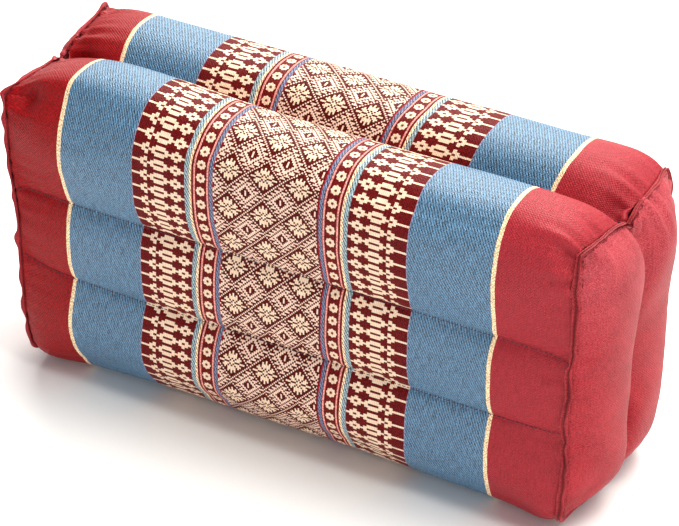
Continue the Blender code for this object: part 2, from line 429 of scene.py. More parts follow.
def fill_shell(points, faces, held):
    """Cloth simulation that fills the shell with kapok; stitched points stay where they are."""
    shell = make_object("filling_shell", points, faces)
    outward = normals(shell.data)
    near = np.full(len(points), 1e9)
    for start in range(0, len(held), 400):
        group = points[held[start:start + 400]]
        near = np.minimum(near, np.sqrt(((points[:, None] - group[None]) ** 2).sum(-1)).min(1))
    slack = START_INSET * (1.0 - np.exp(-near / SLACK_REACH))
    start_points = points - outward * slack[:, None]
    start_points[:, 2] = np.maximum(start_points[:, 2], 0.0)
    shell.data.vertices.foreach_set("co", start_points.ravel())
    shell.data.update()
    shell.vertex_groups.new(name="stitched").add(held, 1.0, "REPLACE")
    cloth = shell.modifiers.new("kapok", "CLOTH")
    cloth.settings.quality = 6
    cloth.settings.mass = 0.3
    cloth.settings.tension_stiffness = 12.0
    cloth.settings.compression_stiffness = 12.0
    cloth.settings.shear_stiffness = 4.0
    cloth.settings.bending_stiffness = 0.4
    cloth.settings.use_pressure = True
    cloth.settings.uniform_pressure_force = 4.0
    cloth.settings.shrink_min = -0.02
    cloth.settings.vertex_group_mass = "stitched"
    cloth.settings.effector_weights.gravity = 0.0
    cloth.collision_settings.use_self_collision = False
    cloth.point_cache.frame_start = 1
    cloth.point_cache.frame_end = FILL_FRAMES
    scene = bpy.context.scene
    for step in range(1, FILL_FRAMES + 1):
        scene.frame_set(step)
    evaluated = shell.evaluated_get(bpy.context.evaluated_depsgraph_get())
    filled = positions(evaluated.to_mesh())
    evaluated.to_mesh_clear()
    mesh = shell.data
    bpy.data.objects.remove(shell)
    bpy.data.meshes.remove(mesh)
    scene.frame_set(1)
    move = filled - start_points
    length = np.sqrt((move ** 2).sum(1, keepdims=True))
    move *= np.minimum(1.0, MOVE_CAP / np.maximum(length, 1e-9))
    return start_points + move


def blur(values, axis, reach):
    """Gaussian average along one axis of a grid, with its ends held."""
    steps = np.arange(-3 * reach, 3 * reach + 1)
    weights = np.exp(-(steps / reach) ** 2 / 2)
    edge = [(0, 0)] * values.ndim
    edge[axis] = (3 * reach, 3 * reach)
    held = np.pad(values, edge, mode="edge")
    total = sum(w * np.take(held, np.arange(values.shape[axis]) + n, axis) for n, w in enumerate(weights))
    return total / weights.sum()


def settle(filled, target, index, tables):
    """Lays the simulation's swelling, smoothed along the length, on the rule's shape: nearly all of
    it on the front and the back, less on the crowns, and about half on the end panels."""
    result = filled.copy()
    swelling = (filled - target)[index]
    from_seam = np.minimum(ALONG + 1, 1 - ALONG) * HALF_LENGTH
    window = (1.0 - np.exp(-from_seam / SWELLING_FADE))[:, None, None]
    weight = np.maximum(blur(window + 0 * swelling, 0, SIDE_BLUR), 0.05)
    even = blur(swelling, 0, SIDE_BLUR) / weight * window
    keep = KEPT_ON_CROWNS + KEPT_ON_FACES * np.abs(RING_B)[None, :, None] ** 8
    result[index] = target[index] + keep * even
    for table in tables.values():
        inner = table[1:-1, 1:-1]
        change = (filled - target)[table]
        soft = blur(blur(change, 0, PANEL_BLUR), 1, PANEL_BLUR)[1:-1, 1:-1]
        result[inner] = target[inner] + KEPT_ON_PANELS * soft
    return result


def keep_lobes_apart(points, index):
    """Front and back lobes stay on their own side of the valley, and nothing sinks below the floor."""
    flat = index.ravel()
    front = np.tile(RING_B < -1e-6, LENGTH_CELLS + 1)
    back = np.tile(RING_B > 1e-6, LENGTH_CELLS + 1)
    y = points[flat, 1]
    y = np.where(front, np.minimum(y, -LOBE_CLEARANCE), y)
    points[flat, 1] = np.where(back, np.maximum(y, LOBE_CLEARANCE), y)
    points[:, 2] = np.maximum(points[:, 2], 0.0)
    return points


shell_points, shell_faces, SIDE_INDEX, END_TABLES = build_shell()
HELD = pinned_points(SIDE_INDEX, END_TABLES)
filled_points = fill_shell(shell_points, shell_faces, HELD)
shell_points = settle(filled_points, shell_points, SIDE_INDEX, END_TABLES)
shell_points = keep_lobes_apart(shell_points, SIDE_INDEX)

# Cloth coordinates in metres: U along the length on the middle row, V round the filled section
middle_ring = side_points(np.zeros(1), RING_B, RING_C)
ring_steps = np.sqrt(((np.roll(middle_ring, -1, 0) - middle_ring) ** 2).sum(1))
CLOTH_V = np.concatenate(([0.0], np.cumsum(ring_steps)))
CLOTH_U = -CLOTH_LEFT + (CLOTH_LEFT + CLOTH_RIGHT) * (ALONG + 1) / 2
front_rows = [r for r, (j, k) in enumerate(RING) if j == 0]
FLOWER_V = float(np.interp(FLOWER_Z, middle_ring[front_rows, 2], CLOTH_V[front_rows]))
UPPER_LINE_V = 1000.0 * float(CLOTH_V[RING.index((0, UPPER_ROW))] - FLOWER_V)
LOWER_LINE_V = 1000.0 * float(CLOTH_V[RING.index((0, LOWER_ROW))] - FLOWER_V)
VALLEY_LINE_V = 1000.0 * float(CLOTH_V[TOP_VALLEY] - FLOWER_V)


def add_cloth_map(mesh, u_of, v_of):
    """UV map in metres on the cloth from functions of a face corner's vertex and its face."""
    layer = mesh.uv_layers.new(name="cloth")
    for polygon in mesh.polygons:
        for corner in polygon.loop_indices:
            vertex = mesh.loops[corner].vertex_index
            layer.data[corner].uv = (u_of(vertex, polygon.index), v_of(vertex, polygon.index))


def crease_edges(mesh, chosen, weight):
    """Keeps the edges whose two ends are both chosen sharp through subdivision."""
    attribute = mesh.attributes.new("crease_edge", "FLOAT", "EDGE")
    for edge in mesh.edges:
        if edge.vertices[0] in chosen and edge.vertices[1] in chosen:
            attribute.data[edge.index].value = weight


def subdivide(thing, name):
    """Plain mesh object of thing, rounded by one level of subdivision."""
    smooth = thing.modifiers.new("round", "SUBSURF")
    smooth.levels = 1
    smooth.render_levels = 1
    smooth.uv_smooth = "NONE"
    return as_plain_mesh(thing, name)


def make_cover():
    """Long sides of the cushion, closed by two caps behind the end panels."""
    points = list(shell_points[SIDE_INDEX.ravel()])
    faces = grid_faces(LENGTH_CELLS + 1, ROUND, SIDE_INDEX, True, False)
    side_faces = len(faces)
    count = len(points)
    for side, end in ((-1, 0), (1, LENGTH_CELLS)):
        ring = shell_points[SIDE_INDEX[end]]
        centre = ring.mean(0)
        recess = Vector((side * CAP_RECESS, 0, 0))
        previous = SIDE_INDEX[end]
        for inset in CAP_RINGS:
            points += [Vector(centre + (p - centre) * inset) - recess for p in ring]
            current = np.arange(count, count + ROUND)
            faces += grid_faces(2, ROUND, np.stack((previous, current)), True, side < 0)
            previous = current
            count += ROUND
        points.append(centre - np.array((side * CAP_RECESS, 0, 0)))
        for r in range(ROUND):
            triangle = (int(previous[r]), int(count), int(previous[(r + 1) % ROUND]))
            faces.append(triangle if side > 0 else triangle[::-1])
        count += 1
    cover = make_object("khit_cover", points, faces)

    def u_of(vertex, face):
        return float(CLOTH_U[vertex // ROUND]) if face < side_faces else CAP_U

    def v_of(vertex, face):
        if face >= side_faces:
            return 0.0
        at_join = vertex % ROUND == 0 and face % ROUND == ROUND - 1
        return float(CLOTH_V[ROUND if at_join else vertex % ROUND])

    add_cloth_map(cover.data, u_of, v_of)
    places = {"along": np.repeat(CLOTH_U, ROUND), "around": np.tile(CLOTH_V[:-1], LENGTH_CELLS + 1)}
    for name, values in places.items():
        attribute = cover.data.attributes.new(name, "FLOAT", "POINT")
        for n, value in enumerate(values):
            attribute.data[n].value = value
    sharp_lines = SEWN_LINES + [TOP_VALLEY, BOTTOM_VALLEY]
    chosen = np.concatenate((SIDE_INDEX[:, sharp_lines].ravel(), SIDE_INDEX[[0, -1]].ravel()))
    crease_edges(cover.data, set(chosen.tolist()), 1.0)
    return subdivide(cover, "khit_cover")


def make_panel(name, side):
    """End panel: the filled outer face and a plain back, both sewn to the seam ring."""
    table = END_TABLES[side]
    b, c = np.meshgrid(ACROSS, ROWS, indexing="ij")
    outer = shell_points[table.ravel()]
    outer[:, 0] += side * PANEL_CLEARANCE
    rim = np.array([j in (0, DEPTH_CELLS) or k in (0, HEIGHT_CELLS)
                    for j in range(DEPTH_CELLS + 1) for k in range(HEIGHT_CELLS + 1)])
    outer[rim, 0] += side * PANEL_EDGE
    inner = panel_points(side, b.ravel(), c.ravel(), PANEL_CLEARANCE)
    size = len(outer)
    front = np.arange(size).reshape(table.shape)
    faces = grid_faces(DEPTH_CELLS + 1, HEIGHT_CELLS + 1, front, False, side < 0)
    faces += grid_faces(DEPTH_CELLS + 1, HEIGHT_CELLS + 1, front + size, False, side > 0)
    loop = np.array([front[j, k] for j, k in RING])
    faces += grid_faces(2, ROUND, np.stack((loop + size, loop)), True, False)
    both = np.concatenate((outer, inner))
    panel = make_object(name, both, faces)
    add_cloth_map(panel.data, lambda v, f: float(both[v, 1]), lambda v, f: float(both[v, 2]))
    crease_edges(panel.data, set(loop.tolist()) | set((loop + size).tolist()), 0.9)
    return subdivide(panel, name)


# Places where thread pulls the cloth in, from the middle of the resting surface
DIMPLES = (
    # x, y, height, radius, depth
    (-0.1600, -0.0500, 0.1650, 0.0080, 0.0055),
    (0.1600, -0.0520, 0.1680, 0.0055, 0.0030),
    (-0.1620, 0.0430, 0.1690, 0.0060, 0.0030),
    (0.1590, 0.0030, 0.1640, 0.0090, 0.0065),
    (-0.1600, 0.0000, 0.1640, 0.0080, 0.0050),
    (0.1720, 0.0060, 0.1560, 0.0080, 0.0045),
    (0.1690, -0.0010, 0.0500, 0.0070, 0.0045),
    (-0.1700, 0.0000, 0.0600, 0.0090, 0.0030),
)

# Tied corners and notches of the end seams, where the gathers are deep
GATHERED = (
    # x, y, height
    (-0.1700, -0.0500, 0.1660),
    (-0.1700, 0.0500, 0.1700),
    (-0.1680, 0.0000, 0.1640),
    (0.1650, -0.0520, 0.1700),
    (0.1650, 0.0500, 0.1700),
    (0.1700, 0.0080, 0.1600),
)
GATHERED_REACH = 0.026
RUCK_HEIGHT = 0.00085        # rucks: small folds that run out from the end seams
RUCK_SPACING = 0.0016
RUCK_LENGTH = 0.010
GATHERED_LENGTH = 0.012      # they run this much further by the gathered places
RUCK_START = 0.002           # they rise to their full height over this much
PANEL_RIM = 0.001            # width of a panel's rim that counts as the seam itself
GATHERED_MORE = 1.5          # and stand higher by the gathered places by this share
SOFT_HEIGHT = 0.00040        # broad unevenness of the filling
SOFT_SPACING = (0.021, 0.019, 0.017)
PUCKER_HEIGHT = 0.0004       # gathers along the sewn lines
PUCKER_SPACING = 0.0015
PUCKER_WIDTH = 0.0045        # they reach this far from a sewn line
PUCKER_START = 0.001         # they rise to their full height over this much
PUCKER_DRIFT = 0.03          # length round the cushion over which they wander
PUCKER_END = 0.163           # they end this far from the middle of the cushion
PUCKER_FADE = 0.004
TIGHT_DEPTH = 0.0011         # the thread cuts this far into the cloth, over the same width


def press_in(mesh):
    """Presses the dimples into a finished piece, and draws folds out from its end seams."""
    points = positions(mesh)
    outward = normals(mesh)
    depth = np.zeros(len(points))
    for x, y, z, radius, amount in DIMPLES:
        away = np.sqrt(((points - np.array((x, y, z))) ** 2).sum(1))
        depth += amount * np.exp(-(away / radius) ** 2)
    y = points[:, 1]
    z = points[:, 2] - SEAM_CENTRE_Z
    seam = np.where(points[:, 0] > 0, seam_x(1, y, z), seam_x(-1, y, z))
    inward = np.minimum(SEAM_DEPTH / 2 + SEAM_BOW - np.abs(y), SEAM_HEIGHT / 2 - np.abs(z))
    from_seam = np.abs(points[:, 0] - seam) + np.maximum(inward - PANEL_RIM, 0.0)
    upright = np.abs(y) / SEAM_DEPTH > np.abs(z) / SEAM_HEIGHT
    round_about = np.where(upright, z, y + 0.3 * np.sign(z))
    side = np.sign(points[:, 0])
    gathered = sum(np.exp(-((points - np.array(place)) ** 2).sum(1) / GATHERED_REACH ** 2)
                   for place in GATHERED)
    rucks = wave_noise(5, round_about / RUCK_SPACING, side * 2.0)
    rucks *= np.exp(-from_seam / (RUCK_LENGTH + GATHERED_LENGTH * gathered))
    rucks *= (1.0 - np.exp(-from_seam / RUCK_START)) * (1.0 + GATHERED_MORE * gathered)
    soft_x, soft_y, soft_z = SOFT_SPACING
    soft = wave_noise(11, points[:, 0] / soft_x, z / soft_z, y / soft_y)
    moved = points + outward * (RUCK_HEIGHT * rucks + SOFT_HEIGHT * soft - depth)[:, None]
    moved[:, 2] = np.maximum(moved[:, 2], 0.0)
    mesh.vertices.foreach_set("co", moved.astype(np.float32).ravel())
    mesh.update()


def pucker_creases(mesh):
    """Tightens the sewn lines of the long sides and gathers the cloth along them."""
    points = positions(mesh)
    outward = normals(mesh)
    around = np.empty(len(points), np.float32)
    mesh.attributes["around"].data.foreach_get("value", around)
    along = np.empty(len(points), np.float32)
    mesh.attributes["along"].data.foreach_get("value", along)
    near = np.full(len(points), 1.0)
    for r in SEWN_LINES:
        near = np.minimum(near, np.abs(around - CLOTH_V[r]))
    ends = np.clip((PUCKER_END - np.abs(along)) / PUCKER_FADE, 0.0, 1.0)
    gathers = wave_noise(21, along / PUCKER_SPACING, around / PUCKER_DRIFT)
    gathers = gathers * np.exp(-near / PUCKER_WIDTH) * (1 - np.exp(-near / PUCKER_START))
    tight = -TIGHT_DEPTH * np.exp(-near / TIGHT_DEPTH)
    shift = (PUCKER_HEIGHT * gathers + tight) * ends * np.where(around > 0, 1.0, 0.0)
    mesh.vertices.foreach_set("co", (points + outward * shift[:, None]).astype(np.float32).ravel())
    mesh.update()


cover = make_cover()
panel_left = make_panel("end_panel_cloth_left", -1)
panel_right = make_panel("end_panel_cloth_right", 1)
pucker_creases(cover.data)
for piece in (cover, panel_left, panel_right):
    press_in(piece.data)


# Folded end seams

FOLD_PROFILE = (
    # sideways, outward, as shares of half the thickness and of the height
    (-0.25, 0.00),
    (-0.80, 0.35),
    (-1.00, 0.72),
    (-0.72, 0.98),
    (-0.34, 0.88),
    (0.00, 0.30),
    (0.34, 0.88),
    (0.72, 0.98),
    (1.00, 0.72),
    (0.80, 0.35),
    (0.25, 0.00),
    (0.00, -0.12),
)
FOOT_DEPTH = 0.0008          # the fold's foot sits this far inside the cushion
FOLD_LIFT = 0.0004           # and the rest of it this far above the seam
WAVE_LENGTH = 0.0085         # its height, thickness and lean are uneven at these lengths
FINE_LENGTH = 0.0032
KINK_LENGTH = 0.0050
EDGE_LENGTH = 0.006
KINK_START = 0.45            # share of the unevenness past which it kinks
EDGE_LEAN = 0.0008           # unevenness of the lean
KINK_LEAN = 0.0026           # the fold flops over by this much at its kinks
THICKNESS_WAVE = 0.00018     # unevenness of half the thickness
PINCH_REACH = 0.0022         # the sewn lines of the sides pinch it over this much of its height
MAP_STEP = 0.0008            # cloth between two corners of the profile
SEAM_SECTIONS = 460

# The seam allowance's height over its seam, how far its edge leans over the end panel, and half
# of its thickness
SEAM_FOLDS = {
    # side: each as (front, top, back, bottom)
    -1: ((0.0008, 0.0007, 0.0012, 0.0009), (0.0008, 0.0008, 0.0008, 0.0008),
         (0.00065, 0.00065, 0.00065, 0.00065)),
    1: ((0.0026, 0.0006, 0.0013, 0.0022), (0.0002, 0.0012, 0.0008, 0.0006),
        (0.00250, 0.00125, 0.00115, 0.00115)),
}
SEAM_UNEVENNESS = {
    # side: higher at the top corners, wave of the lean, lean at the pinches
    -1: (0.0012, 0.0006, 0.0),
    1: (0.0003, 0.0013, 0.0014),
}


def even_ring(count):
    """Places round an end seam, evenly spaced along it, as b and c on the outer square, and how
    far along the seam each lies."""
    samples = 2400
    turn = np.linspace(-pi / 2, 1.5 * pi, samples + 1)[:-1]
    reach = np.maximum(np.abs(np.cos(turn)), np.abs(np.sin(turn)))
    b = np.cos(turn) / reach
    c = np.sin(turn) / reach
    y, z = seam_outline(b, c)
    step = np.sqrt((np.roll(y, -1) - y) ** 2 + (np.roll(z, -1) - z) ** 2)
    run = np.concatenate(([0.0], np.cumsum(step)))
    wanted = np.linspace(0, run[-1], count + 1)[:-1]
    place = np.interp(wanted, run, np.arange(samples + 1))
    low = place.astype(int)
    share = place - low
    b_at = b[low] * (1 - share) + np.roll(b, -1)[low] * share
    c_at = c[low] * (1 - share) + np.roll(c, -1)[low] * share
    return b_at, c_at, wanted


def by_edge(b, c, values):
    """Blends the four values for the front, top, back and bottom edges round a seam."""
    weights = [np.maximum(share, 0.0) ** 12 for share in (-b, c, b, -c)]
    return sum(w * v for w, v in zip(weights, values)) / sum(weights)


def make_end_seam(name, side, seed):
    """Raised seam allowance: two cloth edges folded side by side, wavy along their length, and
    pinched where the sewn lines of the front and the back meet it."""
    b, c, run = even_ring(SEAM_SECTIONS)
    seam, y, z = seam_point(side, b, c)
    wave = wave_noise(seed, run / WAVE_LENGTH)
    fine = wave_noise(seed + 1, run / FINE_LENGTH)
    kink = np.maximum(wave_noise(seed + 2, run / KINK_LENGTH) - KINK_START, 0.0)
    stands, leans, halves = SEAM_FOLDS[side]
    corner_rise, lean_wave, pinch_lean = SEAM_UNEVENNESS[side]
    corner = np.minimum(np.abs(b), np.abs(c)) ** 14
    height = by_edge(b, c, stands) * (1.0 + 0.18 * wave + 0.10 * fine)
    height = height + corner_rise * corner * (c > 0)
    pinch = sum(hump(z + SEAM_CENTRE_Z, level, PINCH_REACH) for level in (UPPER_CREASE_Z, LOWER_CREASE_Z))
    half = (by_edge(b, c, halves) + THICKNESS_WAVE * fine) * (1.0 - 0.5 * pinch)
    lean = by_edge(b, c, leans) + lean_wave * wave + EDGE_LEAN * fine + KINK_LEAN * kink
    lean = lean + pinch_lean * pinch
    points = []
    for sideways, outward in FOLD_PROFILE:
        uneven = height * (1.0 + 0.16 * np.sign(sideways) * wave_noise(seed + 3, run / EDGE_LENGTH))
        out = uneven * outward + (FOLD_LIFT if outward > 0 else -FOOT_DEPTH)
        x = seam + side * (PANEL_EDGE / 2) + sideways * half * (0.5 + 0.5 * outward)
        x = x + side * lean * max(outward, 0.0) ** 1.5
        fold_y = y + b * np.abs(b) ** 5 * out
        fold_z = z + c * np.abs(c) ** 5 * out + SEAM_CENTRE_Z
        points.append(np.stack((x, fold_y, fold_z), -1))
    points = np.stack(points, 1)
    size = len(FOLD_PROFILE)
    index = np.arange(SEAM_SECTIONS * size).reshape(SEAM_SECTIONS, size).tolist()
    faces = []
    for s in range(SEAM_SECTIONS):
        t = (s + 1) % SEAM_SECTIONS
        for r in range(size):
            q = (r + 1) % size
            faces.append((index[s][r], index[s][q], index[t][q], index[t][r]))
    fold = make_object(name, points.reshape(-1, 3), faces)
    add_cloth_map(fold.data, lambda v, f: float(run[v // size]), lambda v, f: (v % size) * MAP_STEP)
    return subdivide(fold, name)


seam_left = make_end_seam("end_seam_fold_left", -1, 3)
seam_right = make_end_seam("end_seam_fold_right", 1, 8)


# Stitches

STITCH_INPUTS = (
    # name, kind of socket
    ("Spacing", "Float"),
    ("Length", "Float"),
    ("Radius", "Float"),
    ("Unevenness", "Float"),
    ("Seed", "Int"),
    ("Thread", "Material"),
)
STITCH_SIZES = {
    # piece: spacing, length, radius, unevenness, seed
    "channel_stitches": (0.0026, 0.0021, 0.00024, 0.12, 4),
    "end_seam_stitches": (0.0032, 0.0022, 0.00025, 0.15, 9),
}
STITCH_LIFT = 0.0002         # the stitches of the sewn lines stand this far off the cloth
VALLEY_LIFT = 0.0003
END_LINE = (0.972, 0.982, 0.0021)    # shares of the depth and the height, and out from the seam


def make_stitch_tree():
    """Geometry Nodes that lay a running stitch along the edges of a mesh."""
    tree = bpy.data.node_groups.new("running stitch", "GeometryNodeTree")
    tree.interface.new_socket("Geometry", in_out="INPUT", socket_type="NodeSocketGeometry")
    for name, kind in STITCH_INPUTS:
        tree.interface.new_socket(name, in_out="INPUT", socket_type="NodeSocket" + kind)
    tree.interface.new_socket("Geometry", in_out="OUTPUT", socket_type="NodeSocketGeometry")
    given = add(tree, "NodeGroupInput").outputs
    line = add(tree, "GeometryNodeMeshToCurve", {"Mesh": given["Geometry"]})
    spots = add(tree, "GeometryNodeCurveToPoints", {"Curve": line, "Length": given["Spacing"]},
                mode="LENGTH")
    bead = add(tree, "GeometryNodeMeshUVSphere", {"Segments": 6, "Rings": 5, "Radius": 1.0})
    half = add(tree, "ShaderNodeMath", {0: given["Length"], 1: 0.5}, operation="MULTIPLY")
    size = add(tree, "ShaderNodeCombineXYZ", {0: given["Radius"], 1: given["Radius"], 2: half})
    shaped = add(tree, "GeometryNodeTransform", {"Geometry": bead, "Scale": size})
    least = add(tree, "ShaderNodeMath", {0: 1.0, 1: given["Unevenness"]}, operation="SUBTRACT")
    most = add(tree, "ShaderNodeMath", {0: 1.0, 1: given["Unevenness"]}, operation="ADD")
    varied = add(tree, "FunctionNodeRandomValue", {"Seed": given["Seed"], 2: least, 3: most},
                 data_type="FLOAT")
    laid = add(tree, "GeometryNodeInstanceOnPoints", {
        "Points": spots, "Instance": shaped, "Rotation": spots.outputs["Rotation"],
        "Scale": varied.outputs[1]})
    real = add(tree, "GeometryNodeRealizeInstances", {"Geometry": laid})
    dyed = add(tree, "GeometryNodeSetMaterial", {"Geometry": real, "Material": given["Thread"]})
    add(tree, "NodeGroupOutput", {0: dyed})
    return tree


def make_stitches(name, lines, tree, thread):
    """Plain mesh of the stitches along several open or closed lines of points."""
    inputs = [label for label, kind in STITCH_INPUTS]
    values = dict(zip(inputs, STITCH_SIZES[name] + (thread,)))
    points = []
    edges = []
    for line, closed in lines:
        first = len(points)
        points += [tuple(p) for p in line]
        edges += [(first + n, first + n + 1) for n in range(len(line) - 1)]
        if closed:
            edges.append((len(points) - 1, first))
    mesh = bpy.data.meshes.new(name + "_path")
    mesh.from_pydata(points, edges, [])
    path = bpy.data.objects.new(name + "_path", mesh)
    modifier = path.modifiers.new("stitches", "NODES")
    modifier.node_group = tree
    for item in tree.interface.items_tree:
        if item.item_type == "SOCKET" and item.in_out == "INPUT" and item.name in values:
            modifier[item.identifier] = values[item.name]
    bpy.context.scene.collection.objects.link(path)
    stitches = as_plain_mesh(path, name)
    stitches.data.shade_smooth()
    return stitches


def crease_lines():
    """Lines at the bottom of each sewn crease and of the top valley, just clear of the cloth."""
    lines = []
    for r in sorted(SEWN_LINES + [TOP_VALLEY]):
        if r == TOP_VALLEY:
            line = shell_points[SIDE_INDEX[2:-2, r]].copy()
            line[:, 2] += VALLEY_LIFT
        else:
            line = shell_points[SIDE_INDEX[1:-1, r]].copy()
            line[:, 1] += STITCH_LIFT * (1 if RING[r][0] else -1)
        lines.append((line, False))
    return lines


def seam_line(side):
    """Closed line on an end panel just inside its raised seam."""
    deep, high, out = END_LINE
    b, c, _ = even_ring(300)
    seam, y, z = seam_point(side, b * deep, c * high)
    return np.stack((seam + side * out, y, z + SEAM_CENTRE_Z), -1)


# Materials

# One quarter of the lattice repeat: rows upward from the flower's middle, cells outward from it.
# The last cell and row are the middle of the small diamond between four flowers.
LATTICE_CHART = (
    "##...###..#",
    "#.###....#.",
    ".#.###..#..",
    "###.#..#.##",
    "###...#...#",
    "#.#..#.###.",
    "#...#...#.#",
    "...#.###.##",
    "..#...#.##.",
    ".#.###.##..",
    "#...#.##..#",
    ".###.##...#",
)

# Candle band: cells from the blue edge inward, each with its rows 0, 1, 2 and 3 off the middle
CANDLE_CHART = (
    "#...", "#...", "#...", "#...", "#...", "#...", "##..", "##..", ".##.", ".##.", "#...",
    "#...", "##..", "##..", ".##.", ".##.", ".##.", ".##.", ".##.", ".##.", "##..", "##..",
    "#...", "#...", "##..", "##..", ".##.", ".##.", "##..", "##..", "#...", "#...",
)

# Stripes outward from the middle of the pattern, in mm; each lasts until the next
FINE_STRIPES = (
    # start, colour
    (29.0, "#520D0A"),
    (31.4, "#8E0F1A"),
    (32.2, "#6B7088"),
    (34.3, "#4E0A0E"),
    (34.7, "#E8948A"),
    (35.7, "#66100F"),
    (42.5, "#E8948A"),
    (43.5, "#641114"),
    (44.7, "#F0C8A0"),
    (46.1, "#8A9CA2"),
    (48.7, "#620F10"),
)
FINE_REACH = 50.0
BROAD_STRIPES = (
    # start, colour
    (76.0, "#620F10"),
    (80.4, "#8C86A0"),
    (80.8, "#486C88"),
    (124.5, "#EFCFA4"),
    (126.7, "#8C050B"),
)
BROAD_REACH = 130.0

# Places in the pattern, in mm. The right half is woven a little out of step with the left one, and
# its broad stripes are wider.
PATTERN_SHIFT = 4.1          # from the middle of the cushion to the middle of the pattern
RIGHT_STEP = 3.3             # the right half's fine stripes lie this much further in
RIGHT_BROAD = (0.9540, 5.05)    # the same for its broad stripes: share and step
BROAD_START = 76.5           # past this the broad stripes take over from the fine ones
FIGURE_END = 80.4            # the blue starts here, and the woven figures end
BLUE = (80.8, 124.5)
RIBBED = ((32.2, 34.3), (44.9, 48.7))
RED_START = 126.7
LATTICE = (-32.2, 27.8)
LATTICE_CELL = (1.005, 1.036)   # a cell along and round the cushion
LATTICE_START = (3.45, 0.4)  # mm along and cells up to the middle of a large flower
LATTICE_TAKE_UP = (6.2, -7.4)   # cloth hidden in the upper and the lower sewn line
DIAMOND_RANK = 10.0          # cells out and up from a flower's middle to the diamonds' outline
DOT_SIZE = 0.24              # square of the radius of a dot of that outline, in cells
BAND_PITCH = 7.7             # candles and small flowers, one above the other
BAND_START = 0.8
BAND_TAKE_UP = 3.0
CANDLES = (48.9, 90.0)
CANDLE_START = 81.3          # the candles' cells are counted inward from here
CANDLE_CELL = (1.01, 1.2)    # a cell along and round the cushion
SMALL_FLOWERS = (35.9, 42.5)
SMALL_FLOWER_MIDDLE = 39.2
SMALL_FLOWER_RING = (0.75, 2.55)    # from the hole in its middle to its petals' ends
PETAL_DEPTH = 0.24
PETAL_SOFTNESS = 0.12
SHARP = 0.05                 # half the width of an edge between two yarns
PULL = 4.2                   # the cloth over the back channel was pulled this far
PULL_LENGTH = 32.0           # from the valley on, it takes this much cloth to get there
RIGHT_PULL = (-30.0, 30.0)   # the pull to the right grows between these
LEFT_PULL = (-122.0, -84.0, 0.75)    # the pull to the left fades between these, from this share
SWAY = 0.9                   # sway of the threads
TWILL_PITCH = 2.9
TWILL_STEEPNESS = 1.8
KHIT_WEAVE = 1.7
PLAIN_WEAVE = 1.5

# Scales of the textures, as one over their size in mm
SWAY_SCALE = 0.05            # 20 mm
CREAM_PATCHES = 0.30         # 3 mm
KHIT_SPECKS = 0.9            # 1 mm
KHIT_SLUBS = (1.5, 0.14, 1.0)    # 0.7 mm wide and 7 mm long
PLAIN_PATCHES = 0.05         # 20 mm
PLAIN_SPECKS = 1.2           # 0.8 mm
PLAIN_SLUBS = (1.2, 0.20, 1.0)   # 0.8 mm wide and 5 mm long


def start_material(name, roughness, sheen):
    """Node material of matt cloth fibre or paint, with a pale bloom at grazing angles."""
    material = bpy.data.materials.new(name)
    material.use_nodes = True
    tree = material.node_tree
    shader = tree.nodes["Principled BSDF"]
    shader.inputs["Roughness"].default_value = roughness
    shader.inputs["Specular IOR Level"].default_value = 0.16
    shader.inputs["Sheen Weight"].default_value = sheen
    shader.inputs["Sheen Roughness"].default_value = 0.5
    shader.inputs["Sheen Tint"].default_value = linear("#FFF4EE")
    return material, tree, shader


def finish(tree, shader, colour, height, strength, depth):
    """Links the colour and the relief, which is up to depth metres high."""
    tree.links.new(colour, shader.inputs["Base Color"])
    bump = add(tree, "ShaderNodeBump", {"Strength": strength, "Distance": depth, "Height": height})
    tree.links.new(bump.outputs[0], shader.inputs["Normal"])


def cloth_place(tree, offset):
    """The piece's own cloth map in millimetres, moved by offset."""
    cloth = add(tree, "ShaderNodeUVMap", uv_map="cloth")
    scale = (1000.0, 1000.0, 1000.0)
    return add(tree, "ShaderNodeMapping", {"Vector": cloth, "Scale": scale, "Location": offset})


def between(tree, value, edges, soft):
    """1 where value is between the two edges, which are this soft."""
    low, high = edges
    rise = add(tree, "ShaderNodeMapRange", {0: value, 1: low - soft, 2: low + soft, 3: 0.0, 4: 1.0})
    fall = add(tree, "ShaderNodeMapRange", {0: value, 1: high - soft, 2: high + soft, 3: 1.0, 4: 0.0})
    return add(tree, "ShaderNodeMath", {0: rise, 1: fall}, operation="MULTIPLY")


def striped(tree, place, stripes, high):
    """Colour of the stripe at a place; each stripe of the table lasts until the next."""
    low = stripes[0][0]
    share = add(tree, "ShaderNodeMapRange", {0: place, 1: low, 2: high})
    ramp = add(tree, "ShaderNodeValToRGB", {0: share})
    ramp.color_ramp.interpolation = "CONSTANT"
    steps = ramp.color_ramp.elements
    steps[1].position = (stripes[1][0] - low) / (high - low)
    for start, colour in stripes[2:]:
        steps.new((start - low) / (high - low))
    for step, (start, colour) in zip(steps, stripes):
        step.color = linear(colour)
    return ramp


def summed(tree, base, parts):
    """The base, plus each part's value by its share."""
    for value, share in parts:
        base = add(tree, "ShaderNodeMath", {0: value, 1: share, 2: base}, operation="MULTIPLY_ADD")
    return base


